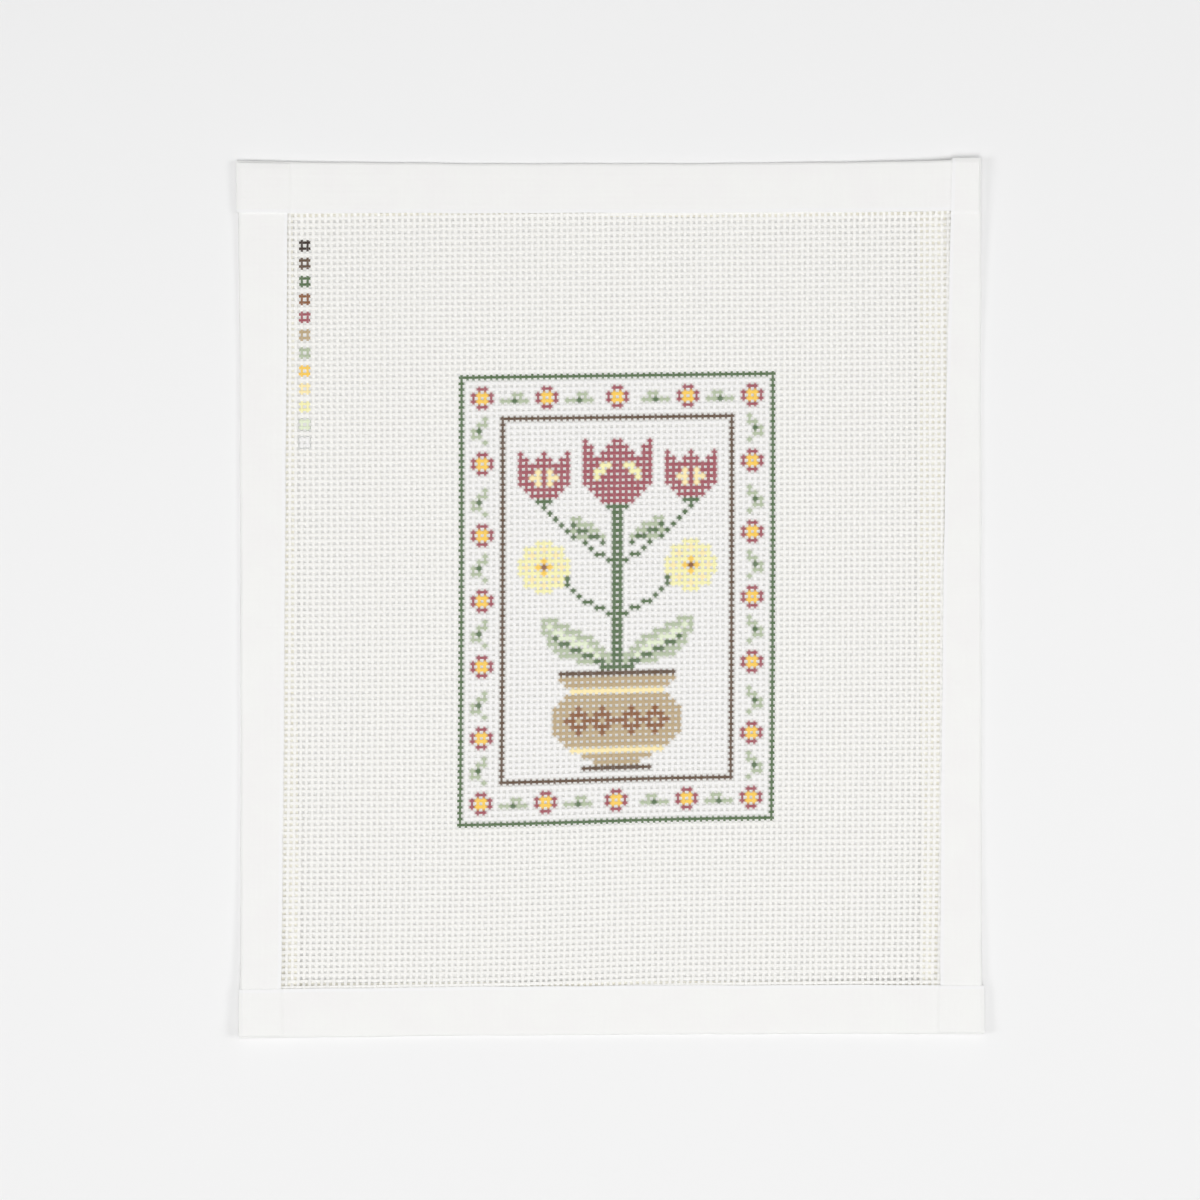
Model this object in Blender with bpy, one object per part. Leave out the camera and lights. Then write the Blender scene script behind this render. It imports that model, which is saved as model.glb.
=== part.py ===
"""A needlepoint canvas panel, lying face up: a sheet of cotton mono canvas with tape folded over its four edges.

X runs across the panel, Y up it and Z out of its face. The origin is on the surface that it lies on, under the
middle. The strips of tape were stuck on in the order left, top, right, bottom. Each one covers the ends of those
before it, which stop just short of it here. The corners curl up a little, and all the rest lies flat.
"""

import math
from collections import namedtuple

import bpy

# Lengths are in millimetres, as far as the meshes, which are in metres.
METRES = 0.001

CANVAS_THICK = 1.0
TAPE_THICK = 1.0
GAP = 0.3  # between any two pieces
FOLD_RADIUS = CANVAS_THICK / 2 + GAP + TAPE_THICK / 2  # to the middle of the tape
FOLD_REACH = FOLD_RADIUS + TAPE_THICK / 2  # from a fold's centre to its outermost line
MIDDLE_HEIGHT = FOLD_REACH  # of the canvas's middle layer above the surface that the strips touch

LONGEST_STEP = 7.0  # between two rows of points, along a strip or across the canvas
LAYER_STEPS = 3  # across the front or the back half of a strip
FOLD_STEPS = 6  # round a fold, an even number so that a row of points lies on its outermost line

# The outermost places of the panel, left and right and bottom and top.
HALF_SIZE = {"x": 89.2, "y": 104.9}

# A strip runs along X or Y, from its start, at the left or the bottom, to its end. Its lines are given by their
# other coordinate there: outer at the start, the middle and the end, joined by a parabola, because the cut edges are
# slightly bowed; front and back, the inner edges of its two halves, at the start and the end, joined by a straight
# line. start and end are the places of its own cut ends, or the name of the later strip that covers that end.
Strip = namedtuple("Strip", "name along outer front back start end")
STRIPS = [
    Strip("tape_left", "y", (-88.3, -88.3, -88.8), (-78.6, -77.3), (-74.1, -75.9), "tape_bottom", "tape_top"),
    Strip("tape_top", "x", (104.4, 103.8, 104.6), (92.0, 92.5), (90.9, 91.2), -89.2, "tape_right"),
    Strip("tape_right", "y", (88.7, 88.6, 88.4), (79.0, 81.2), (74.7, 73.0), "tape_bottom", 104.9),
    Strip("tape_bottom", "x", (-104.9, -104.25, -103.85), (-93.3, -92.4), (-92.0, -91.2), -88.5, 89.2),
]
NAMED = {strip.name: strip for strip in STRIPS}

# How high each corner of the panel curls, falling to nothing within CURL_REACH of it.
Corner = namedtuple("Corner", "x_side y_side rise")
CORNERS = [
    Corner(-1, 1, 0.8),
    Corner(1, 1, 2.0),
    Corner(-1, -1, 1.8),
    Corner(1, -1, 1.5),
]
CURL_REACH = 60.0

CANVAS_COLOUR = (0.83, 0.81, 0.75, 1.0)
CANVAS_ROUGHNESS = 0.85
TAPE_COLOUR = (0.86, 0.86, 0.84, 1.0)
TAPE_ROUGHNESS = 0.7
SHARP_ANGLE = math.radians(40)


def along_share(strip, at):
    """How far along the strip a place is, from 0 at its start to 1 at its end."""
    half = HALF_SIZE[strip.along]
    return (at + half) / (2 * half)


def outer_edge(strip, at):
    """The coordinate of the strip's bowed outer line at a place along it."""
    t = along_share(strip, at)
    start, middle, end = strip.outer
    return start * (1 - t) * (1 - 2 * t) + middle * 4 * t * (1 - t) + end * t * (2 * t - 1)


def inner_edge(strip, half, at):
    """The coordinate of the inner line of the strip's front or back half at a place along it."""
    t = along_share(strip, at)
    start, end = getattr(strip, half)
    return start * (1 - t) + end * t


def cut_end(strip, half, end):
    """Where one end of a strip's front or back half is: its own cut end, or just short of the strip over it."""
    if not isinstance(end, str):
        return end
    edge = inner_edge(NAMED[end], half, strip.outer[1])
    return edge - math.copysign(GAP, edge)


def lift(x, y):
    """How far the curl of the corners raises the panel at a place."""
    raised = 0.0
    for corner in CORNERS:
        away = math.hypot(corner.x_side * HALF_SIZE["x"] - x, corner.y_side * HALF_SIZE["y"] - y)
        raised += corner.rise * max(0.0, 1 - away / CURL_REACH) ** 2
    return raised


def placed(x, y, height):
    """A point of a mesh, in metres, from its height over the canvas's middle layer where that lies flat."""
    return (x * METRES, y * METRES, (MIDDLE_HEIGHT + height + lift(x, y)) * METRES)


def spaced(start, end):
    """Places from start to end, at even steps of at most LONGEST_STEP."""
    steps = math.ceil((end - start) / LONGEST_STEP)
    return [start + (end - start) * i / steps for i in range(steps + 1)]


def strip_section(strip, at):
    """The middle line of the tape at a place: from the front half's inner edge, round the fold, to the back's.

    Each point is the coordinate across the strip and the height over the canvas's middle layer.
    """
    outer = outer_edge(strip, at)
    inward = -math.copysign(1, outer)
    centre = outer + inward * FOLD_REACH
    front = inner_edge(strip, "front", at)
    back = inner_edge(strip, "back", at)
    section = []
    for i in range(LAYER_STEPS):
        section.append((front + (centre - front) * i / LAYER_STEPS, FOLD_RADIUS))
    for i in range(FOLD_STEPS + 1):
        turn = math.pi * i / FOLD_STEPS
        section.append((centre - inward * FOLD_RADIUS * math.sin(turn), FOLD_RADIUS * math.cos(turn)))
    for i in range(1, LAYER_STEPS + 1):
        section.append((centre + (back - centre) * i / LAYER_STEPS, -FOLD_RADIUS))
    return section


def add_sheet(name, points, faces, thickness, material, parent):
    """A sheet of even thickness about the surface through its middle. It leaves out points that no face uses."""
    used = sorted({corner for face in faces for corner in face})
    number = {old: new for new, old in enumerate(used)}
    mesh = bpy.data.meshes.new(name)
    mesh.from_pydata([points[old] for old in used], [], [[number[c] for c in face] for face in faces])
    mesh.materials.append(material)
    mesh.shade_smooth()
    mesh.set_sharp_from_angle(angle=SHARP_ANGLE)
    sheet = bpy.data.objects.new(name, mesh)
    bpy.context.scene.collection.objects.link(sheet)
    sheet.parent = parent
    solidify = sheet.modifiers.new("thickness", "SOLIDIFY")
    solidify.thickness = thickness * METRES
    solidify.offset = 0.0
    solidify.use_even_offset = True
    return sheet


def add_strip(strip, material, parent):
    """A strip of tape folded over one edge.

    Where a later strip covers more of one half than of the other, that half stops sooner, and past there the tape
    is slit along its fold's outermost line.
    """
    runs = {half: (cut_end(strip, half, strip.start), cut_end(strip, half, strip.end)) for half in ("front", "back")}
    starts, ends = zip(*runs.values())
    places = spaced(max(starts), min(ends))
    if min(starts) < max(starts):
        places.insert(0, min(starts))
    if max(ends) > min(ends):
        places.append(max(ends))

    points = []
    for at in places:
        for across, height in strip_section(strip, at):
            x, y = (at, across) if strip.along == "x" else (across, at)
            points.append(placed(x, y, height))

    rows = 2 * LAYER_STEPS + FOLD_STEPS + 1
    outermost_row = LAYER_STEPS + FOLD_STEPS // 2
    faces = []
    for i in range(len(places) - 1):
        middle = (places[i] + places[i + 1]) / 2
        for row in range(rows - 1):
            start, end = runs["front" if row < outermost_row else "back"]
            if start < middle < end:
                a = i * rows + row
                faces.append((a, a + 1, a + rows + 1, a + rows))
    return add_sheet(strip.name, points, faces, TAPE_THICK, material, parent)


def add_canvas(material, parent):
    """The canvas, which reaches to the centres of the strips' folds."""
    left, top, right, bottom = STRIPS
    across = len(spaced(-HALF_SIZE["x"], HALF_SIZE["x"]))
    up = len(spaced(-HALF_SIZE["y"], HALF_SIZE["y"]))
    points = []
    faces = []
    for j in range(up):
        v = j / (up - 1)
        for i in range(across):
            u = i / (across - 1)
            rough_x = HALF_SIZE["x"] * (2 * u - 1)
            rough_y = HALF_SIZE["y"] * (2 * v - 1)
            low_x, high_x = outer_edge(left, rough_y) + FOLD_REACH, outer_edge(right, rough_y) - FOLD_REACH
            low_y, high_y = outer_edge(bottom, rough_x) + FOLD_REACH, outer_edge(top, rough_x) - FOLD_REACH
            points.append(placed(low_x + (high_x - low_x) * u, low_y + (high_y - low_y) * v, 0.0))
            if i and j:
                a = (j - 1) * across + i - 1
                faces.append((a, a + 1, a + across + 1, a + across))
    return add_sheet("canvas", points, faces, CANVAS_THICK, material, parent)


def cloth(name, colour, roughness):
    material = bpy.data.materials.new(name)
    material.use_nodes = True
    shader = material.node_tree.nodes["Principled BSDF"]
    shader.inputs["Base Color"].default_value = colour
    shader.inputs["Roughness"].default_value = roughness
    shader.inputs["Metallic"].default_value = 0.0
    return material


def main():
    for old in list(bpy.data.objects):
        bpy.data.objects.remove(old, do_unlink=True)
    panel = bpy.data.objects.new("panel", None)
    bpy.context.scene.collection.objects.link(panel)
    add_canvas(cloth("cotton_canvas", CANVAS_COLOUR, CANVAS_ROUGHNESS), panel)
    for strip in STRIPS:
        add_strip(strip, cloth(strip.name + "_cloth", TAPE_COLOUR, TAPE_ROUGHNESS), panel)


main()
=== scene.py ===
"""The looks of a needlepoint canvas panel that lies face up on a pale table, under soft studio light.

The canvas is woven here thread by thread, with every painted stitch of its chart, and four strips of cloth
tape are folded over its edges. X runs across the panel, Y up it and Z out of its face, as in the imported
frame.
"""

import math
from collections import namedtuple

import bpy
import numpy as np
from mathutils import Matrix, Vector


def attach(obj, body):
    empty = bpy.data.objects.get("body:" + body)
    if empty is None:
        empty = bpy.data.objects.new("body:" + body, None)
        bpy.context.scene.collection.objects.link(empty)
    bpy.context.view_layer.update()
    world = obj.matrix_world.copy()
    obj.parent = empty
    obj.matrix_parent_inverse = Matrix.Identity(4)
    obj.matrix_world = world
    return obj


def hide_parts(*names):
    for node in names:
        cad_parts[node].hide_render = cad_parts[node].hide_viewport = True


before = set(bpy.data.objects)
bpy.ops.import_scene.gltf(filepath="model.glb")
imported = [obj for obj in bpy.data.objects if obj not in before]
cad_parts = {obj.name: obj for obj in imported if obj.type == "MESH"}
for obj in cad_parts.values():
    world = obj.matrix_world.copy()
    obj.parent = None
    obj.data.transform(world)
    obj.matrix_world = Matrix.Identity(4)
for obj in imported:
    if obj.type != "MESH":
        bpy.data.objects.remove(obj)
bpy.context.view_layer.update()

# Lengths are in millimetres, as far as the meshes, the lights and the camera, which are in metres.
METRES = 0.001

# ---- The outline ----

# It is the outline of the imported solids, whose front lines are straight and up to 0.6 mm off these.

# The outermost places of the panel, left and right and bottom and top.
HALF_SIZE = {"x": 89.2, "y": 104.9}

# A strip runs along X or Y, from its start, at the left or the bottom, to its end. Its lines are the outer
# one and the inner edges of its front and back halves. Each is a parabola through its other coordinate at
# the panel's two ends and its middle. The strips were stuck on in this order.
Strip = namedtuple("Strip", "name along start end outer front back")
STRIPS = [
    Strip(
        "tape_left", along="y", start=-103.2, end=102.9,
        outer=(-88.3, -88.3, -88.8), front=(-78.55, -77.7, -76.85), back=(-74.1, -75.0, -75.9),
    ),
    Strip(
        "tape_top", along="x", start=-89.2, end=87.2,
        outer=(104.4, 103.8, 104.6), front=(91.95, 91.98, 92.35), back=(90.9, 91.05, 91.2),
    ),
    Strip(
        "tape_right", along="y", start=-102.8, end=104.9,
        outer=(88.7, 88.6, 88.4), front=(78.7, 79.5, 81.5), back=(74.7, 73.85, 73.0),
    ),
    Strip(
        "tape_bottom", along="x", start=-88.5, end=89.2,
        outer=(-104.9, -104.25, -103.85), front=(-93.3, -92.5, -92.25), back=(-92.0, -91.6, -91.2),
    ),
]

# How high each corner of the panel curls, falling to nothing within CURL_REACH of it.
Corner = namedtuple("Corner", "x_side y_side rise")
CORNERS = [Corner(-1, 1, 0.8), Corner(1, 1, 2.0), Corner(-1, -1, 1.8), Corner(1, -1, 1.5)]
CURL_REACH = 60.0

TAPE_THICK = 0.25
CANVAS_THICK = 0.54
CANVAS_MIDDLE = TAPE_THICK + CANVAS_THICK / 2  # above the table, where the panel lies flat on its tape
SAG_DEPTH = 0.215  # by which the canvas comes down towards the table inside its tape
SAG_REACH = 0.9  # within this of the back lines
SLACK = 0.95  # share of the corners' curl that the canvas loses inside the tape's front half
SLACK_REACH = 2.0  # within this of the front lines
STEP_REACH = 0.9  # of the slope beside the cut edge of a strip that lies underneath


def bowed_line(strip, line, at):
    """The other coordinate of one of the strip's lines, outer, front or back, at places along it."""
    half = HALF_SIZE[strip.along]
    t = (at + half) / (2 * half)
    start, middle, end = getattr(strip, line)
    return start * (1 - t) * (1 - 2 * t) + middle * 4 * t * (1 - t) + end * t * (2 * t - 1)


def lift(x, y):
    """How far the curl of the corners raises the panel at places."""
    raised = 0.0
    for corner in CORNERS:
        away = np.hypot(corner.x_side * HALF_SIZE["x"] - x, corner.y_side * HALF_SIZE["y"] - y)
        raised = raised + corner.rise * np.maximum(0.0, 1 - away / CURL_REACH) ** 2
    return raised


def smooth(share):
    """A share from 0 to 1, eased at both ends."""
    share = np.clip(share, 0.0, 1.0)
    return share * share * (3 - 2 * share)


def inside_lines(x, y, line):
    """How far places are inside the strips' lines of one kind, across the panel and up it."""
    left, top, right, bottom = STRIPS
    across = np.minimum(x - bowed_line(left, line, y), bowed_line(right, line, y) - x)
    up = np.minimum(y - bowed_line(bottom, line, x), bowed_line(top, line, x) - y)
    return across, up


def curl(x, y):
    """The lift that is left at places, as the canvas comes down from the curl on the tape's back half.

    Where the back halves of two strips lap, there is room for both of them under it.
    """
    raised = lift(x, y)
    fallen = SLACK * smooth(np.minimum(*inside_lines(x, y, "front")) / SLACK_REACH)
    lapped = TAPE_THICK * smooth(1 - np.maximum(*inside_lines(x, y, "back")) / STEP_REACH)
    return np.maximum(raised * (1 - fallen), np.minimum(raised, lapped))


def sag(x, y):
    """How far the canvas has come down, at places, from its level on the tape behind it."""
    return SAG_DEPTH * smooth(np.minimum(*inside_lines(x, y, "back")) / SAG_REACH)


# ---- Building blocks for nodes and meshes ----


def linear(hex_colour):
    """An sRGB hex colour as linear RGBA."""
    shares = [int(hex_colour[i : i + 2], 16) / 255 for i in (1, 3, 5)]
    return tuple(s / 12.92 if s <= 0.04045 else ((s + 0.055) / 1.055) ** 2.4 for s in shares) + (1.0,)


def add(tree, kind, inputs=None, **settings):
    """Adds a node with its settings. Each input is a plain value, or another node's output to link."""
    node = tree.nodes.new(kind)
    for name, value in settings.items():
        setattr(node, name, value)
    for name, value in (inputs or {}).items():
        if isinstance(value, bpy.types.NodeSocket):
            tree.links.new(value, node.inputs[name])
        else:
            node.inputs[name].default_value = value
    return node


def new_material(name):
    """An empty material with its Principled shader linked, as (material, tree, shader)."""
    material = bpy.data.materials.new(name)
    material.use_nodes = True
    tree = material.node_tree
    tree.nodes.clear()
    shader = add(tree, "ShaderNodeBsdfPrincipled")
    add(tree, "ShaderNodeOutputMaterial", {"Surface": shader.outputs["BSDF"]})
    return material, tree, shader


def new_object(name, content):
    """A new object in the scene, which holds a mesh, a light or a camera."""
    holder = bpy.data.objects.new(name, content)
    bpy.context.scene.collection.objects.link(holder)
    return holder


def noise(tree, place, scale, detail):
    """A noise over places, with as many features to a metre as its scale says."""
    inputs = {"Vector": place, "Scale": scale, "Detail": detail}
    return add(tree, "ShaderNodeTexNoise", inputs).outputs["Fac"]


# ---- The paints and the chart ----

PAINTS = {
    "K": "#2f1b12",  # near-black brown
    "B": "#644f3f",  # brown
    "G": "#57704c",  # leaf green
    "R": "#8c5c3a",  # rust
    "M": "#a2555f",  # madder rose
    "T": "#bba581",  # tan
    "S": "#b3bfa3",  # sage
    "O": "#f9cd58",  # golden yellow
    "C": "#fbe9b1",  # cream
    "Y": "#f6f1b5",  # pale yellow
    "L": "#e3ecd0",  # pale green
    "W": "#f2f1f0",  # white
}

# Sizes here are in threads.
CHART_WIDE, CHART_HIGH = 54, 76
CHART_LEFT, CHART_TOP = 27, 23  # the chart's first warp and weft, counted from the first colour sample's
SAMPLES = "KBGRMTSOCYLW"
OUTLINED_SAMPLES = "LW"  # the two palest, which have an outline in grey pen
SAMPLE_SPACING = 3  # from one sample to the next
SAMPLE_SIDE = 2
BORDER_WIDTH = 7
BLOSSOM_INSET = 2  # from the chart's top and bottom
BLOSSOM_SIDE = 4

BLOSSOM = """
.MM.
MOOM
MOOM
.MM.
"""
UPRIGHT_SPRIG = """
S..
SS.
.GS
.SS
S..
"""
LEVEL_SPRIG = """
.SS..
SSGSS
"""
TULIP = """
M...M...M
MM.MMM.MM
MMMMMMMMM
MMMCMCMMM
MMCCMCCMM
MMMCMCMMM
.MMMMMMM.
..MMMMM..
...GGG...
"""
HALF_BIG_TULIP = """
M....M
MM..MM
MMM.MM
MMMMMM
MYYMMM
MMYYMM
MMMYMM
MMMMMM
MMMMM.
MMMM..
MMM...
GG....
"""
DAISY = """
...YYY...
.YYYCYYY.
.YCYYYCY.
YYYYOYYYY
YCYOROYCY
YYYYOYYYY
.YCYYYCY.
.YYYCYYY.
...YYY...
"""
HALF_POT = """
BBBBBBBBBB.
TTTTTTTTTT.
TTTTTTTTT..
CCCCCCCC...
TTTTTTTTT..
TTTTTTTTTT.
TTRTTTRTTTT
TRRRTRRRTTT
RRTRRRTRRTT
TRRRTRRRTTT
TTRTTTRTTTT
TTTTTTTTTT.
TTTTTTTTT..
CCCCCCCC...
TTTTTT.....
TTTT.......
BBBBBB.....
"""
LOW_LEAF = """
.........SSS.
.......SSSLS.
.....SSSLLSS.
...SSSLLLGS..
..SSLLLGGSS..
.SSLLGGSSS...
SSLGGSSSS....
SGGSSS.......
GG...........
"""
HIGH_LEAF = """
....SS
..SSSG
.SSGGS
SGGSS.
G.....
"""


class Chart:
    """Which paint each stitch of the canvas has, by the numbers of its warp and weft."""

    def __init__(self):
        self.paint = {}

    def dab(self, column, row, paint):
        """Paints one stitch of the chart, given from its top left corner."""
        if paint != ".":
            self.paint[CHART_LEFT + column, CHART_TOP + row] = paint

    def pair(self, column, row, paint):
        """Paints a stitch, column threads right of the chart's middle, and its mirror image."""
        self.dab(CHART_WIDE // 2 + column, row, paint)
        self.dab(CHART_WIDE // 2 - 1 - column, row, paint)

    def stamp(self, motif, column, row):
        """Paints a motif and its mirror image."""
        for down, line in enumerate(motif.split()):
            for across, paint in enumerate(line):
                self.pair(column + across, row + down, paint)

    def stem(self, paint, *points):
        """Paints a line one stitch thick through points, and its mirror image."""
        for (c0, r0), (c1, r1) in zip(points, points[1:]):
            steps = max(abs(c1 - c0), abs(r1 - r0))
            for k in range(steps + 1):
                self.pair(round(c0 + (c1 - c0) * k / steps), round(r0 + (r1 - r0) * k / steps), paint)

    def border(self, inset, paint):
        """Paints a frame one stitch wide, as far inside the chart's edges as inset says."""
        for column in range(inset, CHART_WIDE - inset):
            self.dab(column, inset, paint)
            self.dab(column, CHART_HIGH - 1 - inset, paint)
        for row in range(inset, CHART_HIGH - inset):
            self.dab(inset, row, paint)
            self.dab(CHART_WIDE - 1 - inset, row, paint)


def flower_pot_chart():
    """A pot of tulips and daisies in two mirrored halves, with a border of blossoms and sprigs."""
    chart = Chart()
    for column in range(CHART_WIDE):
        for row in range(CHART_HIGH):
            chart.dab(column, row, "W")
    chart.border(0, "G")
    chart.border(BORDER_WIDTH, "B")
    # The border's blossoms and sprigs, along its top and bottom and then up its sides.
    for row in (BLOSSOM_INSET, CHART_HIGH - BLOSSOM_INSET - BLOSSOM_SIDE):
        for column in (-2, 10, 21):
            chart.stamp(BLOSSOM, column, row)
        for column in (4, 15):
            chart.stamp(LEVEL_SPRIG, column, row + 1)
    for row in (13, 25, 36, 47, 59):
        chart.stamp(BLOSSOM, 21, row)
    for row in (7, 19, 30, 41, 53, 64):
        chart.stamp(UPRIGHT_SPRIG, 22, row)
    # The stems, and then what covers their ends.
    chart.stem("G", (0, 23), (0, 49))
    chart.stem("G", (0, 40), (3, 39), (7, 36), (9, 33))
    chart.stem("G", (0, 32), (4, 29), (9, 25), (12, 22))
    chart.stamp(HALF_BIG_TULIP, 0, 11)
    chart.stamp(TULIP, 8, 13)
    chart.stamp(DAISY, 8, 28)
    chart.stamp(HIGH_LEAF, 2, 24)
    chart.stamp(LOW_LEAF, 1, 41)
    chart.stamp(HALF_POT, 0, 50)
    return chart.paint


def colour_samples():
    """The column of colour samples, each two stitches square, from the darkest paint to white."""
    paint = {}
    for number, sample in enumerate(SAMPLES):
        for column in range(SAMPLE_SIDE):
            for row in range(SAMPLE_SIDE):
                paint[column, number * SAMPLE_SPACING + row] = sample
    return paint


# ---- The weave ----

# Warps run up the canvas and wefts across it. Both are numbered from the first colour sample's, to the right
# and down. The threads lie 18 to the inch, a little wider apart at the top left than at the bottom right.
FIRST_WARP, LAST_WARP = -12, 118
FIRST_WEFT, LAST_WEFT = -16, 136

BAND_COUNT = 5  # the canvas is one sheet, kept as five meshes of under 200,000 triangles

# Where thread 0 lies, how far it is to the next, and how much that changes with each thread's square.
Spacing = namedtuple("Spacing", "zero pitch tightening")
WARPS = Spacing(zero=-73.69, pitch=1.4171, tightening=-0.000135)
WEFTS = Spacing(zero=85.83, pitch=-1.42660, tightening=0.0000573)
LEAN_TOP = 23.5  # below this height the warps lean to the left
LEAN_HEIGHT = 106.3  # and by this far below it they have moved by LEAN
LEAN = -0.72
SKEW_MIDDLE = -6.5  # the wefts climb to the right, turning about this line
SKEW_REACH = 68.8  # on each side of it, over which they climb by what follows
SKEW_TOP, SKEW_BOTTOM = 52.8, -86.4  # between these heights the climb changes
CLIMB_TOP, CLIMB_BOTTOM = 0.93, 0.69  # its even part
BEND = 0.62  # its part that is steepest in the middle, at the bottom
BEND_SHARPNESS = 3
THREAD_STRAY = 0.022  # spread of whole threads about their lines
CROSSING_STRAY = 0.01  # and of single crossings
WEAVE_SEED = 18

WEFT_WIDTH, WARP_WIDTH = 0.78, 0.72
THREAD_THICK = 0.30
WEFT_CRIMP, WARP_CRIMP = 0.05, 0.12  # how far a thread rises and falls from the canvas's middle layer
FLAT_SHARE = 0.28  # half of the level stretch at each crossing, as a share of the spacing
THINNED_SHARE = 0.76  # of its width that a thread keeps where thick paint has drawn its fibres together
THREAD_UNEVENNESS = 0.045  # of its width, either way
HALFWAY = 0.5  # to the next crossing, where a warp goes on in the next band
LINE_NEIGHBOURS = 2  # most strongly painted stitches beside one that is part of a line
SECTION_SIDES = 6
THREAD_SHARP_ANGLE = math.radians(50)
BAKE_MARGIN = 0.002  # kept clear round the picture that a band is baked to
CUT_INSET = 0.75  # from the tape's outer line to the canvas's cut edge


def warp_x(number, y):
    """X of warps at height y."""
    lean = LEAN * (np.maximum(0.0, LEAN_TOP - y) / LEAN_HEIGHT) ** 2
    return WARPS.zero + WARPS.pitch * number + WARPS.tightening * number**2 + lean


def weft_y(number, x):
    """Y of wefts at x."""
    level = WEFTS.zero + WEFTS.pitch * number + WEFTS.tightening * number**2
    down = np.clip((SKEW_TOP - level) / (SKEW_TOP - SKEW_BOTTOM), 0, 1)
    side = (x - SKEW_MIDDLE) / SKEW_REACH
    climb = CLIMB_TOP + (CLIMB_BOTTOM - CLIMB_TOP) * down
    return level + climb * side + BEND * smooth(down) * np.tanh(BEND_SHARPNESS * side)


def crossings(random):
    """Where threads cross, as arrays of X and Y by warp and weft, with each thread a little off its line."""
    warp = np.arange(FIRST_WARP, LAST_WARP + 1)[:, None]
    weft = np.arange(FIRST_WEFT, LAST_WEFT + 1)[None, :]
    x = warp_x(warp, 0 * weft)
    for _ in range(3):  # each depends on the other, and they soon agree
        y = weft_y(weft, x)
        x = warp_x(warp, y)
    x = x + random.normal(0, THREAD_STRAY, (warp.size, 1)) + random.normal(0, CROSSING_STRAY, x.shape)
    y = y + random.normal(0, THREAD_STRAY, (1, weft.size)) + random.normal(0, CROSSING_STRAY, y.shape)
    return x, y


def inside_cut(x, y):
    """Whether places are on the canvas, inside its cut edges."""
    left, top, right, bottom = STRIPS
    return (
        (x > bowed_line(left, "outer", y) + CUT_INSET)
        & (x < bowed_line(right, "outer", y) - CUT_INSET)
        & (y > bowed_line(bottom, "outer", x) + CUT_INSET)
        & (y < bowed_line(top, "outer", x) - CUT_INSET)
    )


def paint_grids():
    """What each stitch has, by warp and weft.

    It is whether it is painted, whether thick paint has drawn its threads in, whether it is in or beside an
    outlined sample, and its colour. Threads are drawn in along lines and in samples, not in broad fills.
    """
    wide, high = LAST_WARP - FIRST_WARP + 1, LAST_WEFT - FIRST_WEFT + 1
    cover = np.zeros((wide, high))
    colour = np.ones((wide, high, 4))
    strong = np.zeros((wide, high), bool)
    outlined = np.zeros((wide, high))
    for (warp, weft), paint in {**colour_samples(), **flower_pot_chart()}.items():
        column, row = warp - FIRST_WARP, weft - FIRST_WEFT
        cover[column, row] = 1.0
        strong[column, row] = paint != "W"
        colour[column, row] = linear(PAINTS[paint])
        if warp < CHART_LEFT and paint in OUTLINED_SAMPLES:
            outlined[column - 1 : column + 2, row - 1 : row + 2] = 1.0
    beside = sum(np.roll(strong, step, axis).astype(int) for step in (-1, 1) for axis in (0, 1))
    thinned = (strong & (beside <= LINE_NEIGHBOURS)).astype(float)
    return cover, thinned, outlined, colour


class ThreadMesh:
    """Polylines of threads, with what each of their points carries."""

    LABELS = ("rise", "cover", "thinned", "outlined", "weft", "tint")

    def __init__(self):
        self.places, self.edges, self.paint = [], [], []
        self.values = {label: [] for label in self.LABELS}

    def add_thread(self, points, is_weft, tint):
        """Adds a line through points, each of them X, Y, rise, cover, thinned, outlined and paint."""
        first = len(self.places)
        self.edges.extend((first + k, first + k + 1) for k in range(len(points) - 1))
        for x, y, rise, cover, thinned, outlined, paint in points:
            self.places.append((x, y))
            self.paint.append(paint)
            for label, value in zip(self.LABELS, (rise, cover, thinned, outlined, is_weft, tint)):
                self.values[label].append(value)

    def mesh(self, name):
        """The lines as a mesh of edges at their heights, still without the crimp."""
        mesh = bpy.data.meshes.new(name)
        x, y = np.array(self.places).T
        heights = CANVAS_MIDDLE + curl(x, y) - sag(x, y)
        mesh.from_pydata(np.column_stack([x, y, heights]) * METRES, self.edges, [])
        for label, values in self.values.items():
            mesh.attributes.new(label, "FLOAT", "POINT").data.foreach_set("value", np.array(values, float))
        colours = np.array(self.paint, float).ravel()
        mesh.attributes.new("paint", "FLOAT_COLOR", "POINT").data.foreach_set("color", colours)
        return mesh


def thread_points(x, y, over, cover, thinned, outlined, colour, joined):
    """The points of one thread through a run of crossings, two at each, on both sides of the thread crossed.

    The arrays hold one more crossing at each end than the run has. joined says for each end whether the
    thread goes on in the next band, which it then meets halfway to the next crossing.
    """
    points = []

    def put(at, towards, share, rise):
        points.append((
            x[at] + (x[towards] - x[at]) * share,
            y[at] + (y[towards] - y[at]) * share,
            rise,
            cover[at] if share < HALFWAY else (cover[at] + cover[towards]) / 2,
            thinned[at] if share < HALFWAY else (thinned[at] + thinned[towards]) / 2,
            outlined[at],
            colour[at] if cover[at] else colour[towards],
        ))

    last = len(x) - 2
    if joined[0]:
        put(1, 0, HALFWAY, 0.0)
    for at in range(1, last + 1):
        rise = 1.0 if over[at] else -1.0
        put(at, at - 1, FLAT_SHARE, rise)
        put(at, at + 1, FLAT_SHARE, rise)
    if joined[1]:
        put(last, last + 1, HALFWAY, 0.0)
    return points


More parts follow.
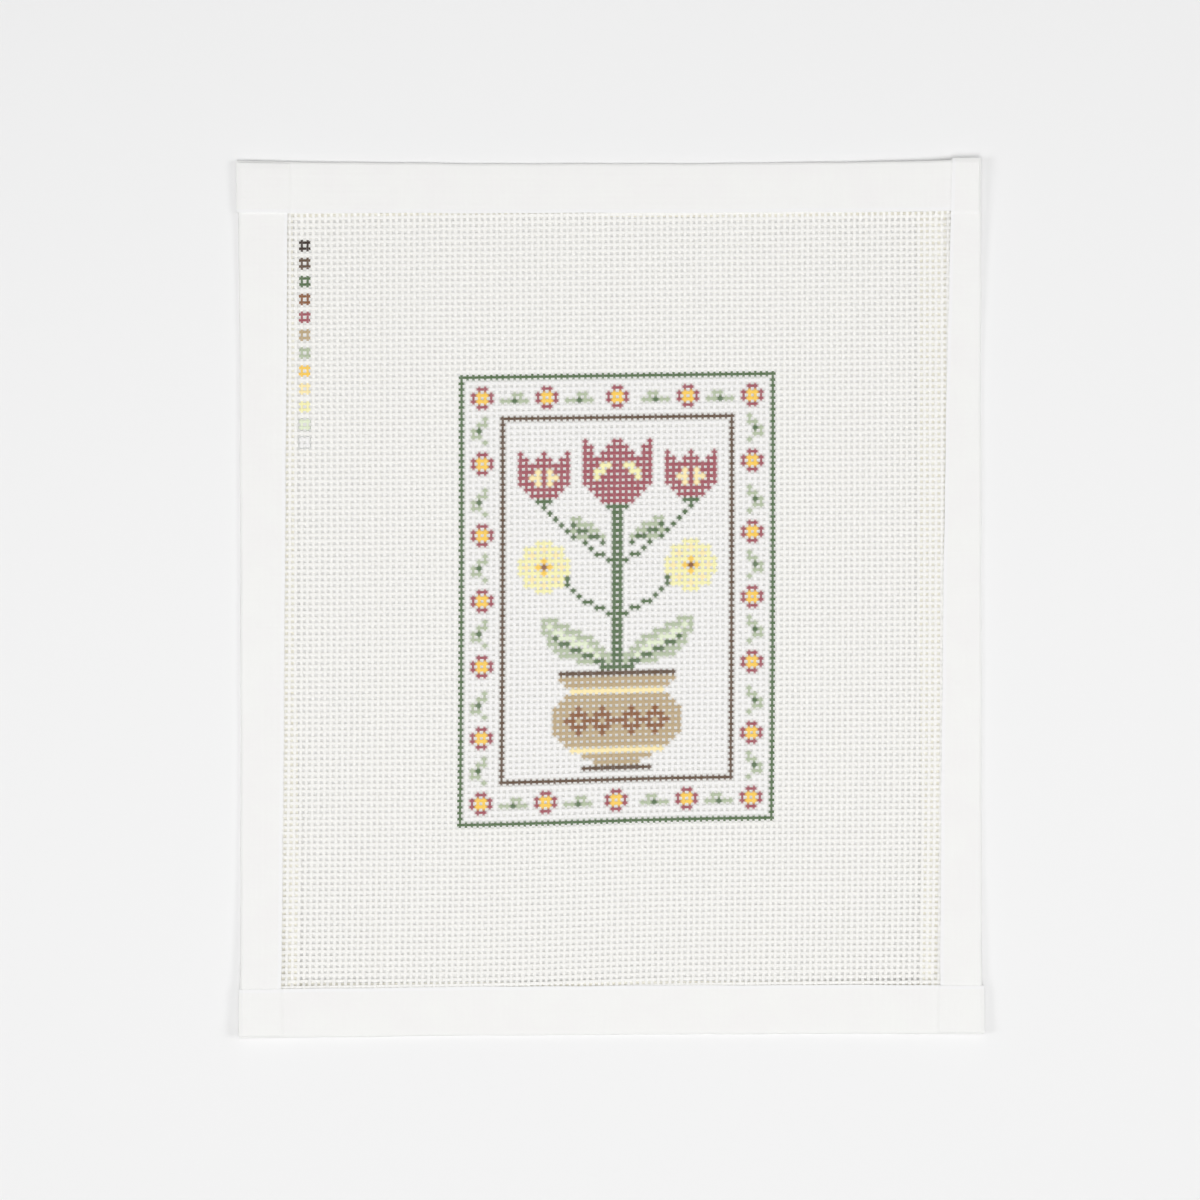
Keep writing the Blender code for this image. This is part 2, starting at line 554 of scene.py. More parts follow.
def thread_meshes():
    """The thread lines of each band of the canvas, from the top down."""
    random = np.random.RandomState(WEAVE_SEED)
    x, y = crossings(random)
    cover, thinned, outlined, colour = paint_grids()
    warp_tint = random.normal(0, 1, x.shape[0])
    weft_tint = random.normal(0, 1, x.shape[1])
    inside = inside_cut(x, y)
    inside[0], inside[-1], inside[:, 0], inside[:, -1] = False, False, False, False
    weft_over = (np.add.outer(np.arange(x.shape[0]), np.arange(x.shape[1])) % 2).astype(bool)
    of_wefts = (x, y, weft_over, cover, thinned, outlined, colour)
    of_warps = (x, y, ~weft_over, cover, thinned, outlined, colour)
    rows = np.flatnonzero(inside.any(axis=0))
    bands = []
    for band_rows in np.array_split(rows, BAND_COUNT):
        threads = ThreadMesh()
        for row in band_rows:
            run = np.flatnonzero(inside[:, row])
            part = slice(run[0] - 1, run[-1] + 2)
            points = thread_points(*(grid[part, row] for grid in of_wefts), (False, False))
            threads.add_thread(points, 1.0, weft_tint[row])
        for column in range(x.shape[0]):
            run = band_rows[inside[column, band_rows]]
            if not len(run):
                continue
            part = slice(run[0] - 1, run[-1] + 2)
            joined = (inside[column, run[0] - 1], inside[column, run[-1] + 1])
            points = thread_points(*(grid[column, part] for grid in of_warps), joined)
            threads.add_thread(points, 0.0, warp_tint[column])
        bands.append(threads)
    return bands


def unit_section(tree):
    """Nodes for the section of a pressed thread, one wide and one thick.

    It has upright sides, with a low roof above and below. Its points carry across, from -1 to 1, and crest,
    from -1 underneath to 1 on top.
    """
    half_side = math.pi / SECTION_SIDES
    circle = add(tree, "GeometryNodeCurvePrimitiveCircle", {"Resolution": SECTION_SIDES, "Radius": 1.0})
    turned = add(
        tree, "GeometryNodeTransform",
        {"Geometry": circle.outputs["Curve"], "Rotation": (0, 0, half_side)},
    )
    section = add(
        tree, "GeometryNodeTransform",
        {"Geometry": turned.outputs["Geometry"], "Scale": (1 / math.cos(half_side), 1, 1)},
    )
    place = add(tree, "ShaderNodeSeparateXYZ", {0: add(tree, "GeometryNodeInputPosition").outputs[0]})
    geometry = section.outputs["Geometry"]
    for name, axis, sense in (("across", "X", 1.0), ("crest", "Y", -1.0)):
        share = add(tree, "ShaderNodeMath", {0: place.outputs[axis], 1: sense}, operation="MULTIPLY")
        geometry = add(
            tree, "GeometryNodeStoreNamedAttribute",
            {"Geometry": geometry, "Name": name, "Value": share.outputs[0]}, data_type="FLOAT",
        ).outputs["Geometry"]
    halved = add(tree, "GeometryNodeTransform", {"Geometry": geometry, "Scale": (0.5, 0.5, 1)})
    return halved.outputs["Geometry"]


def thread_branch(tree, lines, given, width, crimp, seed_shift):
    """Nodes that turn lines into flattened threads, which rise and fall by their crimp."""
    curves = add(tree, "GeometryNodeMeshToCurve", {"Mesh": lines})
    rise = add(tree, "GeometryNodeInputNamedAttribute", {"Name": "rise"}, data_type="FLOAT")
    height = add(tree, "ShaderNodeMath", {0: rise.outputs["Attribute"], 1: crimp}, operation="MULTIPLY")
    offset = add(tree, "ShaderNodeCombineXYZ", {"Z": height.outputs[0]})
    placed = add(
        tree, "GeometryNodeSetPosition", {"Geometry": curves.outputs["Curve"], "Offset": offset.outputs[0]}
    )
    seed = add(tree, "FunctionNodeIntegerMath", {0: given["Seed"], 1: seed_shift}, operation="ADD")
    least = add(tree, "ShaderNodeMath", {0: 1.0, 1: given["Unevenness"]}, operation="SUBTRACT")
    most = add(tree, "ShaderNodeMath", {0: 1.0, 1: given["Unevenness"]}, operation="ADD")
    size = add(
        tree, "FunctionNodeRandomValue",
        {"Min": least.outputs[0], "Max": most.outputs[0], "Seed": seed.outputs[0]}, data_type="FLOAT",
    )
    thinned = add(tree, "GeometryNodeInputNamedAttribute", {"Name": "thinned"}, data_type="FLOAT")
    drawn_in = add(
        tree, "ShaderNodeMapRange",
        {"Value": thinned.outputs["Attribute"], "To Min": 1.0, "To Max": given["Thinned Share"]},
    )
    scale = add(
        tree, "ShaderNodeMath",
        {0: size.outputs["Value"], 1: drawn_in.outputs["Result"]}, operation="MULTIPLY",
    )
    length = add(tree, "GeometryNodeSplineParameter").outputs["Length"]
    marked = add(
        tree, "GeometryNodeStoreNamedAttribute",
        {"Geometry": placed.outputs["Geometry"], "Name": "along", "Value": length}, data_type="FLOAT",
    )
    upright = add(tree, "GeometryNodeSetCurveNormal", {"Curve": marked.outputs["Geometry"]}, mode="Z_UP")
    section = add(tree, "ShaderNodeCombineXYZ", {"X": width, "Y": given["Thread Thickness"], "Z": 1.0})
    profile = add(
        tree, "GeometryNodeTransform", {"Geometry": unit_section(tree), "Scale": section.outputs[0]}
    )
    threads = add(
        tree, "GeometryNodeCurveToMesh",
        {
            "Curve": upright.outputs["Curve"], "Profile Curve": profile.outputs["Geometry"],
            "Scale": scale.outputs[0], "Fill Caps": True,
        },
    )
    return threads.outputs["Mesh"]


def woven_threads_tree():
    """Geometry Nodes that weave the thread lines of a band into a canvas."""
    tree = bpy.data.node_groups.new("woven_threads", "GeometryNodeTree")
    sizes = ("Weft Width", "Warp Width", "Thread Thickness", "Weft Crimp", "Warp Crimp")
    floats = dict.fromkeys((*sizes, "Unevenness", "Thinned Share"), "Float")
    kinds = {"Geometry": "Geometry", **floats, "Seed": "Int", "Material": "Material"}
    for name, kind in kinds.items():
        tree.interface.new_socket(name, in_out="INPUT", socket_type="NodeSocket" + kind)
    tree.interface.new_socket("Geometry", in_out="OUTPUT", socket_type="NodeSocketGeometry")
    given = add(tree, "NodeGroupInput").outputs
    weft = add(tree, "GeometryNodeInputNamedAttribute", {"Name": "weft"}, data_type="FLOAT")
    is_weft = add(
        tree, "FunctionNodeCompare", {0: weft.outputs["Attribute"], 1: 0.5}, operation="GREATER_THAN"
    )
    parted = add(
        tree, "GeometryNodeSeparateGeometry",
        {"Geometry": given["Geometry"], "Selection": is_weft.outputs["Result"]}, domain="POINT",
    )
    woven = add(tree, "GeometryNodeJoinGeometry")
    for seed_shift, (half, name) in enumerate((("Selection", "Weft"), ("Inverted", "Warp"))):
        width, crimp = given[name + " Width"], given[name + " Crimp"]
        threads = thread_branch(tree, parted.outputs[half], given, width, crimp, seed_shift)
        tree.links.new(threads, woven.inputs[0])
    shaded = add(tree, "GeometryNodeSetShadeSmooth", {"Geometry": woven.outputs[0]})
    real = add(tree, "GeometryNodeRealizeInstances", {"Geometry": shaded.outputs[0]})
    finished = add(
        tree, "GeometryNodeSetMaterial", {"Geometry": real.outputs[0], "Material": given["Material"]}
    )
    add(tree, "NodeGroupOutput", {"Geometry": finished.outputs[0]})
    return tree


def unwrap_from_above(mesh):
    """Lays upward faces out in the upper half of the picture that a band is baked to, and the rest below."""
    corners = len(mesh.loops)
    points = np.empty(len(mesh.vertices) * 3)
    mesh.vertices.foreach_get("co", points)
    points = points.reshape(-1, 3)[:, :2]
    vertex = np.empty(corners, int)
    mesh.loops.foreach_get("vertex_index", vertex)
    normals = np.empty(len(mesh.polygons) * 3)
    mesh.polygons.foreach_get("normal", normals)
    sides = np.empty(len(mesh.polygons), int)
    mesh.polygons.foreach_get("loop_total", sides)
    up = np.repeat(normals.reshape(-1, 3)[:, 2] > 0, sides)
    low, high = points.min(axis=0), points.max(axis=0)
    share = BAKE_MARGIN + (1 - 2 * BAKE_MARGIN) * (points[vertex] - low) / (high - low)
    share[:, 1] = share[:, 1] / 2 + np.where(up, 0.5, 0.0)
    layer = mesh.uv_layers.new(name="OFBake")
    layer.data.foreach_set("uv", share.ravel())


def weave_band(number, threads, tree, material):
    name = f"canvas_band_{number}"
    piece = new_object(name, threads.mesh(name + "_lines"))
    modifier = piece.modifiers.new("weave", "NODES")
    modifier.node_group = tree
    sizes = {
        "Weft Width": WEFT_WIDTH * METRES,
        "Warp Width": WARP_WIDTH * METRES,
        "Thread Thickness": THREAD_THICK * METRES,
        "Weft Crimp": WEFT_CRIMP * METRES,
        "Warp Crimp": WARP_CRIMP * METRES,
        "Unevenness": THREAD_UNEVENNESS,
        "Thinned Share": THINNED_SHARE,
        "Seed": number,
        "Material": material,
    }
    for socket in tree.interface.items_tree:
        if socket.in_out == "INPUT" and socket.name in sizes:
            modifier[socket.identifier] = sizes[socket.name]
    bpy.context.view_layer.update()
    evaluated = piece.evaluated_get(bpy.context.evaluated_depsgraph_get())
    mesh = bpy.data.meshes.new_from_object(evaluated)
    piece.modifiers.clear()
    lines = piece.data
    piece.data = mesh
    mesh.name = name
    bpy.data.meshes.remove(lines)
    mesh.set_sharp_from_angle(angle=THREAD_SHARP_ANGLE)
    unwrap_from_above(mesh)
    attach(piece, "root")
    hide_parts("canvas")


# Scales of the material's noises, in features to a metre.
PAINT_RAGGEDNESS = 1400.0
PAINT_PATCHES = 330.0
FIBRES = 7000.0

TWIST_PITCH = 0.6  # from one ply to the next
TWIST_SLANT = 1.8  # radians from a thread's middle to its side
PLY_RELIEF = 0.4  # against 1 for the fibres
FIBRE_RELIEF = 0.03
WANDER = 0.3  # of the paint's edge, as a share of the way to the next stitch
# The cotton's own colour on the threads' tops, and a darker, warmer painted shade for their sides and
# undersides.
COTTON_PAINTED_SHADE, COTTON_TOPS = "#e4dfcd", "#f4f3f0"
PEN, PEN_STRENGTH = "#989f9c", 0.6


def canvas_material():
    """Sized cotton threads with acrylic paint, matt and off-white where bare, their twist just showing.

    The paint lies on top of the threads, as far as halfway to the next stitch, thinner on the warps and in
    patches, and leaves their sides bare. The two palest samples have a grey pen line round them.
    """
    material, tree, shader = new_material("painted_cotton_canvas")
    labels = ("cover", "outlined", "tint", "weft", "across", "crest", "along")
    read = {}
    for label in labels:
        read[label] = add(tree, "ShaderNodeAttribute", attribute_name=label).outputs["Fac"]
    paint = add(tree, "ShaderNodeAttribute", attribute_name="paint").outputs["Color"]
    place = add(tree, "ShaderNodeTexCoord").outputs["Object"]

    ragged = noise(tree, place, PAINT_RAGGEDNESS, 2.0)
    wander = add(
        tree, "ShaderNodeMapRange", {"Value": ragged, "To Min": -WANDER, "To Max": WANDER}
    ).outputs["Result"]
    reach = add(tree, "ShaderNodeMath", {0: read["cover"], 1: wander}, operation="ADD").outputs[0]
    painted = add(
        tree, "ShaderNodeMapRange", {"Value": reach, "From Min": 0.48, "From Max": 0.62}
    ).outputs["Result"]
    aside = add(tree, "ShaderNodeMath", {0: read["across"]}, operation="ABSOLUTE").outputs[0]
    spread = add(tree, "ShaderNodeMath", {0: aside, 1: wander}, operation="ADD").outputs[0]
    bare_side = {"Value": spread, "From Min": 1.2, "From Max": 0.9}
    on_top = {"Value": read["crest"], "From Min": 0.1, "From Max": 0.5}
    on_warps = {"Value": read["weft"], "To Min": 0.97}
    patchy = noise(tree, place, PAINT_PATCHES, 3.0)
    in_patches = {"Value": patchy, "From Min": 0.3, "From Max": 0.6, "To Min": 0.97}
    for share in (bare_side, on_top, on_warps, in_patches):
        factor = add(tree, "ShaderNodeMapRange", share).outputs["Result"]
        painted = add(tree, "ShaderNodeMath", {0: painted, 1: factor}, operation="MULTIPLY").outputs[0]

    # Painted shade: the threads go darker and warmer from their crest down their sides and underneath,
    # shifted a little by each thread's random tint.
    tint_and_crest = add(
        tree, "ShaderNodeMath", {0: read["tint"], 1: 0.06, 2: read["crest"]}, operation="MULTIPLY_ADD"
    ).outputs[0]
    out_of_painted_shade = add(
        tree, "ShaderNodeMapRange", {"Value": tint_and_crest, "From Min": -0.2, "From Max": 0.5}
    ).outputs["Result"]
    at_rim = add(tree, "ShaderNodeMath", {0: read["cover"], 1: 0.5, 2: 0.2}, operation="COMPARE").outputs[0]
    beside = add(
        tree, "ShaderNodeMath", {0: read["outlined"], 1: 0.75}, operation="GREATER_THAN"
    ).outputs[0]
    pen = add(tree, "ShaderNodeMath", {0: at_rim, 1: beside}, operation="MULTIPLY").outputs[0]
    inked = add(tree, "ShaderNodeMath", {0: pen, 1: PEN_STRENGTH}, operation="MULTIPLY").outputs[0]
    colour = linear(COTTON_PAINTED_SHADE)
    for factor, over in ((out_of_painted_shade, linear(COTTON_TOPS)), (painted, paint), (inked, linear(PEN))):
        colour = add(
            tree, "ShaderNodeMix", {0: factor, "A": colour, "B": over}, data_type="RGBA"
        ).outputs["Result"]
    tree.links.new(colour, shader.inputs["Base Color"])

    slant = add(
        tree, "ShaderNodeMath", {0: read["across"], 1: TWIST_SLANT}, operation="MULTIPLY"
    ).outputs[0]
    turn = add(
        tree, "ShaderNodeMath", {0: read["along"], 1: math.tau / (TWIST_PITCH * METRES), 2: slant},
        operation="MULTIPLY_ADD",
    ).outputs[0]
    plies = add(tree, "ShaderNodeMath", {0: turn}, operation="SINE").outputs[0]
    fibres = noise(tree, place, FIBRES, 2.0)
    relief = add(
        tree, "ShaderNodeMath", {0: plies, 1: PLY_RELIEF, 2: fibres}, operation="MULTIPLY_ADD"
    ).outputs[0]
    depth = FIBRE_RELIEF * METRES
    bump = add(tree, "ShaderNodeBump", {"Height": relief, "Strength": 0.45, "Distance": depth})
    tree.links.new(bump.outputs["Normal"], shader.inputs["Normal"])
    matt = add(tree, "ShaderNodeMapRange", {"Value": painted, "To Min": 0.85, "To Max": 0.6})
    tree.links.new(matt.outputs["Result"], shader.inputs["Roughness"])
    shader.inputs["Specular IOR Level"].default_value = 0.3
    return material


# ---- The tape ----

FOLD_RADIUS = 0.26  # of the tape's middle line, where it is creased hard round the edge
FLAT_HEIGHT = CANVAS_THICK / 2 + TAPE_THICK / 2  # of its middle line over the canvas's
SLOPE_REACH = CUT_INSET  # from the outer line to where the tape lies flat on the canvas
OVERHANG_REACH = 0.6  # past a lower strip's outer line, where the two halves that overhang it meet
OVERHANG_RISE = 0.9  # length of their slope from there
BACK_TRIM = 0.9  # by which the back half is cut shorter at each end than the front
TRIM_REACH = 3.0  # from each end, to where the sections are square again
# A fold strays from its line in two waves, by their heights. Their lengths are for a radian of each.
LONG_WAVE_HEIGHT, LONG_WAVE_LENGTH = 0.045, 7.3
SHORT_WAVE_HEIGHT, SHORT_WAVE_LENGTH = 0.03, 2.9
WAVE_SHIFT = 2.1  # radians from one strip to the next
LONGEST_STEP = 1.5  # between two sections of a strip
END_STEPS = (0.25, 0.5, 0.75, 1.0, 1.25, 2.0)  # from each end to its further sections
EDGE_STEPS = 4  # along the slope beside a lower strip's cut edge
# Points across each half's flat and sloping parts, and round the fold.
FLAT_STEPS = 6
SLOPE_STEPS = 5
FOLD_STEPS = 8
END_GUARD = 0.002  # of the picture that a strip is baked to, kept for each cut end
TAPE_SHARP_ANGLE = math.radians(50)


def pinched(height, inset):
    """Height of a strip's middle line at an inset from its outer line, where its flat part is at height."""
    share = smooth((inset - FOLD_RADIUS) / (SLOPE_REACH - FOLD_RADIUS))
    return FOLD_RADIUS + (height - FOLD_RADIUS) * share


def wobble(strip, at):
    """How far a strip's fold strays from its even line."""
    turn = STRIPS.index(strip) * WAVE_SHIFT
    long_wave = LONG_WAVE_HEIGHT * math.sin(at / LONG_WAVE_LENGTH + turn)
    return long_wave + SHORT_WAVE_HEIGHT * math.sin(at / SHORT_WAVE_LENGTH + 2 * turn)


def flat_height(strip, half, at):
    """Height of the flat part of half a strip at a place along it, over the canvas or the strips beneath."""
    height = FLAT_HEIGHT
    for other in STRIPS[: STRIPS.index(strip)]:
        side = math.copysign(1, other.outer[1])
        if other.along == strip.along or side * at < 0:
            continue
        inset = side * (bowed_line(other, "outer", strip.outer[1]) - at)
        past_edge = side * (at - bowed_line(other, half, strip.outer[1]))
        over = pinched(FLAT_HEIGHT, inset) + TAPE_THICK
        over = FOLD_RADIUS + (over - FOLD_RADIUS) * smooth((inset + OVERHANG_REACH) / OVERHANG_RISE)
        height += (over - FLAT_HEIGHT) * smooth(past_edge / STEP_REACH + 1)
    return height


def places_along(strip):
    """Places for a strip's sections, closer together at its ends and beside the strips that it lies over."""
    steps = math.ceil((strip.end - strip.start) / LONGEST_STEP)
    places = list(np.linspace(strip.start, strip.end, steps + 1))
    for end in (strip.start, strip.end):
        places += [end - math.copysign(step, end) for step in END_STEPS]
    slope = [STEP_REACH * k / EDGE_STEPS for k in range(EDGE_STEPS + 1)]
    for other in STRIPS[: STRIPS.index(strip)]:
        if other.along != strip.along:
            for half in ("front", "back"):
                edge = bowed_line(other, half, strip.outer[1])
                places += [edge - math.copysign(step, edge) for step in slope]
    return sorted(p for p in places if strip.start <= p <= strip.end)


def tape_section(strip, at):
    """The tape's middle line at a place, from the front's inner edge round the fold to the back's.

    Each point is how far inside the outer line it is, its height over the canvas's middle layer, and its
    share of the back half.
    """
    outer = bowed_line(strip, "outer", at)
    halves = []
    for share, half in enumerate(("front", "back")):
        width = abs(outer - bowed_line(strip, half, at))
        height = flat_height(strip, half, at)
        insets = list(np.linspace(width, SLOPE_REACH, FLAT_STEPS))
        insets += list(np.linspace(SLOPE_REACH, FOLD_RADIUS + TAPE_THICK / 2, SLOPE_STEPS + 1)[1:-1])
        halves.append([(inset, pinched(height, inset), share) for inset in insets])
    section = halves[0]
    for i in range(FOLD_STEPS + 1):
        turn = math.pi * i / FOLD_STEPS
        reach = FOLD_RADIUS + TAPE_THICK / 2 - FOLD_RADIUS * math.sin(turn)
        section.append((reach, FOLD_RADIUS * math.cos(turn), i / FOLD_STEPS))
    return np.array(section + [(inset, -height, share) for inset, height, share in reversed(halves[1])])


def tape_ring(strip, at):
    """The points round a strip's section at a place, the outer side first and the inner on the way back.

    Each point is X, Y and Z, how far it is from the tape's nearer edge, and how far inside the outer line.
    """
    *section, back = tape_section(strip, at).T
    section = np.column_stack(section)
    along = np.gradient(section, axis=0)
    outward = np.column_stack([along[:, 1], -along[:, 0]])
    outward *= TAPE_THICK / 2 / np.linalg.norm(outward, axis=1)[:, None]
    inset, height = np.vstack([section + outward, (section - outward)[::-1]]).T
    to_start, to_end = at - strip.start, strip.end - at
    trim = BACK_TRIM * smooth(1 - min(to_start, to_end) / TRIM_REACH)
    place = at + math.copysign(trim, to_end - to_start) * np.r_[back, back[::-1]]
    outer = bowed_line(strip, "outer", at) + wobble(strip, at)
    coordinate = outer - math.copysign(1, outer) * inset
    x, y = (place, coordinate) if strip.along == "x" else (coordinate, place)
    steps = np.r_[0, np.cumsum(np.linalg.norm(np.diff(section, axis=0), axis=1))]
    away = np.minimum(steps, steps[-1] - steps)
    return np.column_stack([x, y, CANVAS_MIDDLE + height + curl(x, y), np.r_[away, away[::-1]], inset])


def tape_mesh(strip, cloth, adhesive):
    """The closed mesh of a strip, unwrapped round its section for the picture that it is baked to."""
    places = places_along(strip)
    points = np.array([tape_ring(strip, at) for at in places])
    ring_size = points.shape[1]
    rows = ring_size // 2
    points = points.reshape(-1, 5)
    over_canvas = inside_cut(points[:, 0], points[:, 1])
    run = (np.array(places) - places[0]) / (places[-1] - places[0])
    along = END_GUARD + (1 - 2 * END_GUARD) * run
    round_share = np.arange(ring_size + 1) / ring_size
    flip = (strip.along == "x") == (strip.outer[1] > 0)
    faces, uvs, kinds = [], [], []

    def put(corners, shares, turned, kind):
        if turned:
            corners, shares = corners[::-1], shares[::-1]
        faces.append(corners)
        uvs.extend(shares)
        kinds.append(kind)

    def patch(u0, u1, k):
        v0, v1 = round_share[k], round_share[k + 1]
        return ((u0, v0), (u0, v1), (u1, v1), (u1, v0))

    for i in range(len(places) - 1):
        for k in range(ring_size):
            a, b = i * ring_size + k, i * ring_size + (k + 1) % ring_size
            corners = (a, b, b + ring_size, a + ring_size)
            sticky = rows <= k < ring_size - 1 and over_canvas[list(corners)].all()
            put(corners, patch(along[i], along[i + 1], k), flip, 1 if sticky else 0)
    for i, u0, u1 in ((0, 0.0, END_GUARD), (len(places) - 1, 1 - END_GUARD, 1.0)):
        for k in range(rows - 1):
            a = i * ring_size
            corners = (a + k, a + k + 1, a + ring_size - 2 - k, a + ring_size - 1 - k)
            put(corners, patch(u0, u1, k), flip != (i == 0), 0)
    mesh = bpy.data.meshes.new(strip.name)
    mesh.from_pydata(points[:, :3] * METRES, [], faces)
    mesh.materials.append(cloth)
    mesh.materials.append(adhesive)
    mesh.polygons.foreach_set("material_index", kinds)
    for column, label in ((3, "edge_away"), (4, "inset")):
        mesh.attributes.new(label, "FLOAT", "POINT").data.foreach_set("value", points[:, column].copy())
    mesh.uv_layers.new(name="OFBake").data.foreach_set("uv", np.array(uvs, float).ravel())
    mesh.shade_smooth()
    mesh.set_sharp_from_angle(angle=TAPE_SHARP_ANGLE)
    return mesh


def add_tape(strip, cloth, adhesive):
    piece = new_object(strip.name + "_cloth", tape_mesh(strip, cloth, adhesive))
    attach(piece, "root")
    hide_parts(strip.name)


# Scales of the materials' noises, in features to a metre.
TAPE_CLOUDS = 110.0
TAPE_THREADS = 1400.0
ADHESIVE_PATCHES = 420.0

TAPE_RELIEF = 0.04
THREAD_STRETCH = 0.06  # of the pattern along its threads
PRESS_SHARE = 0.25  # of the relief, which the canvas's threads add from behind
PRESS_REACH = 2.2  # inside the outer line, from where they do so fully
BLEACHED, BLEACHED_PATCHES = "#f1f0ef", "#f2f2f0"
# The selvedge's own colour, and a painted highlight for the fold.
SELVEDGE, FOLD_PAINTED_HIGHLIGHT = "#f3f3f4", "#f6f6f4"


def tape_material():
    """Bleached cotton tape, matt white, denser along its woven edges, with a painted highlight at the fold.

    Its own weave is too fine to show, so it is drawn as uneven threads 0.7 mm apart. The threads of the
    canvas press through it.
    """
    material, tree, shader = new_material("bleached_cotton_tape")
    place = add(tree, "ShaderNodeTexCoord").outputs["Object"]
    edge_away = add(tree, "ShaderNodeAttribute", attribute_name="edge_away").outputs["Fac"]
    inset = add(tree, "ShaderNodeAttribute", attribute_name="inset").outputs["Fac"]
    clouds = noise(tree, place, TAPE_CLOUDS, 3.0)
    patches = {"Value": clouds, "From Min": 0.35, "From Max": 0.65}
    selvedge = {"Value": edge_away, "From Min": 1.0, "From Max": 0.7, "To Max": 0.6}
    # Painted highlight: the tape goes paler towards its outer line, where it folds round the edge.
    fold = {"Value": inset, "From Min": 1.5, "From Max": 0.5, "To Max": 0.2}
    colour = linear(BLEACHED)
    for share, paler in ((patches, BLEACHED_PATCHES), (selvedge, SELVEDGE), (fold, FOLD_PAINTED_HIGHLIGHT)):
        factor = add(tree, "ShaderNodeMapRange", share).outputs["Result"]
        colour = add(
            tree, "ShaderNodeMix", {0: factor, "A": colour, "B": linear(paler)}, data_type="RGBA"
        ).outputs["Result"]
    tree.links.new(colour, shader.inputs["Base Color"])

    relief = None
    for stretched in ((1.0, THREAD_STRETCH, 1.0), (THREAD_STRETCH, 1.0, 1.0)):
        streaked = add(tree, "ShaderNodeMapping", {"Vector": place, "Scale": stretched}).outputs["Vector"]
        threads = noise(tree, streaked, TAPE_THREADS, 1.0)
        relief = add(tree, "ShaderNodeMath", {0: threads, 1: relief or 0.0}, operation="ADD").outputs[0]
    waves = (math.tau / (WARPS.pitch * METRES), math.tau / (WEFTS.pitch * METRES), 0.0)
    canvas_turn = add(tree, "ShaderNodeVectorMath", {0: place, 1: waves}, operation="MULTIPLY").outputs[0]
    canvas_wave = add(tree, "ShaderNodeVectorMath", {0: canvas_turn}, operation="SINE").outputs[0]
    pressed = add(
        tree, "ShaderNodeVectorMath", {0: canvas_wave, 1: (1.0, 1.0, 0.0)}, operation="DOT_PRODUCT"
    ).outputs["Value"]
    on_canvas = add(
        tree, "ShaderNodeMapRange",
        {"Value": inset, "From Min": CUT_INSET, "From Max": PRESS_REACH, "To Max": PRESS_SHARE},
    ).outputs["Result"]
    relief = add(
        tree, "ShaderNodeMath", {0: pressed, 1: on_canvas, 2: relief}, operation="MULTIPLY_ADD"
    ).outputs[0]
    depth = TAPE_RELIEF * METRES
    bump = add(tree, "ShaderNodeBump", {"Height": relief, "Strength": 0.7, "Distance": depth})
    tree.links.new(bump.outputs["Normal"], shader.inputs["Normal"])
    shader.inputs["Roughness"].default_value = 0.8
    return material


ADHESIVE, YELLOWED = "#f4f3ea", "#efecdf"


def adhesive_material():
    """Acrylic adhesive on the inner side of the tape, faintly glossy and yellowed in patches."""
    material, tree, shader = new_material("tape_adhesive")
    place = add(tree, "ShaderNodeTexCoord").outputs["Object"]
    patches = noise(tree, place, ADHESIVE_PATCHES, 2.0)
    yellowed = add(
        tree, "ShaderNodeMapRange", {"Value": patches, "From Min": 0.35, "From Max": 0.65}
    ).outputs["Result"]
    colour = add(
        tree, "ShaderNodeMix", {0: yellowed, "A": linear(ADHESIVE), "B": linear(YELLOWED)}, data_type="RGBA"
    )
    tree.links.new(colour.outputs["Result"], shader.inputs["Base Color"])
    shader.inputs["Roughness"].default_value = 0.5
    return material


# ---- The table, the lights and the camera ----

# The table and the lights are in metres and watts, and the camera in millimetres.
HALF_TABLE = 1.5
LAMINATE = "#f1f1f1"


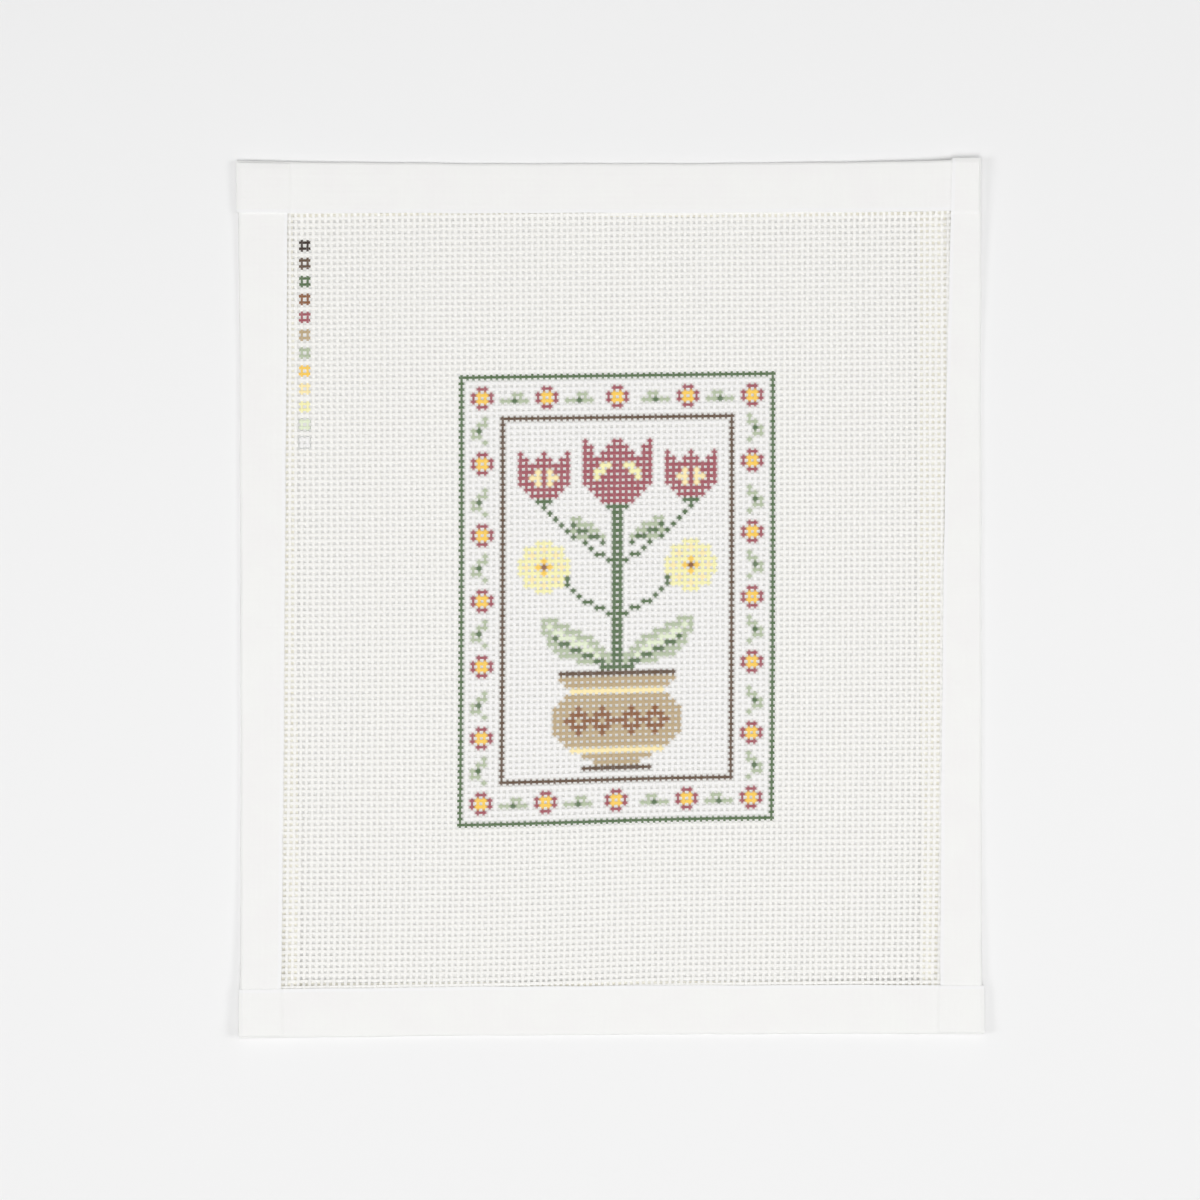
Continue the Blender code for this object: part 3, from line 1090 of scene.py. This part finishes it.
def add_table():
    """A table of matt white laminate, an even pale ground without glare."""
    mesh = bpy.data.meshes.new("table")
    corners = [(x * HALF_TABLE, y * HALF_TABLE, 0) for x, y in ((-1, -1), (1, -1), (1, 1), (-1, 1))]
    mesh.from_pydata(corners, [], [(0, 1, 2, 3)])
    material, _, shader = new_material("matt_white_laminate")
    shader.inputs["Base Color"].default_value = linear(LAMINATE)
    shader.inputs["Roughness"].default_value = 0.9
    mesh.materials.append(material)
    new_object("table", mesh)


def add_light(name, place, target, size, power):
    """A square area light that faces a target."""
    light = bpy.data.lights.new(name, "AREA")
    light.size = size
    light.energy = power
    lamp = new_object(name, light)
    lamp.location = place
    lamp.rotation_euler = (Vector(target) - Vector(place)).to_track_quat("-Z", "Y").to_euler()


def add_lighting():
    """A soft box overhead, which lights the table through the holes, one in front and one at each side."""
    world = bpy.data.worlds.new("studio")
    bpy.context.scene.world = world
    world.use_nodes = True
    background = world.node_tree.nodes["Background"].inputs
    background["Color"].default_value = (1.0, 1.0, 1.0, 1.0)
    background["Strength"].default_value = 0.2
    middle = (0.0, 0.0, 0.0)
    below = (0.0, -0.03, 0.0)
    add_light("overhead_soft_box", place=(0.0, -0.03, 0.85), target=below, size=0.4, power=2.43)
    add_light("near_soft_box", place=(0.0, -1.38, 2.96), target=middle, size=1.0, power=26.1)
    add_light("left_soft_box", place=(-1.1, -0.1, 0.92), target=middle, size=0.5, power=4.6)
    add_light("right_soft_box", place=(1.1, -0.1, 0.92), target=middle, size=0.5, power=4.9)


VIEW_WIDTH = 286.6  # what the picture takes in, across and up, at the height of the canvas
VIEW_CENTRE = (-2.45, -0.42)
LENS = 100.0
SENSOR = 36.0


def add_camera():
    """A camera straight above the panel with a long lens."""
    camera = bpy.data.cameras.new("camera")
    camera.lens = LENS
    camera.sensor_width = SENSOR
    holder = new_object("camera", camera)
    height = VIEW_WIDTH * LENS / SENSOR + CANVAS_MIDDLE
    holder.location = Vector((*VIEW_CENTRE, height)) * METRES
    bpy.context.scene.camera = holder


def main():
    """Makes the canvas, the tape round it, and the studio."""
    tree = woven_threads_tree()
    material = canvas_material()
    for number, threads in enumerate(thread_meshes(), start=1):
        weave_band(number, threads, tree, material)
    cloth, adhesive = tape_material(), adhesive_material()
    for strip in STRIPS:
        add_tape(strip, cloth, adhesive)
    add_table()
    add_lighting()
    add_camera()
    bpy.context.scene.view_settings.view_transform = "Standard"


main()
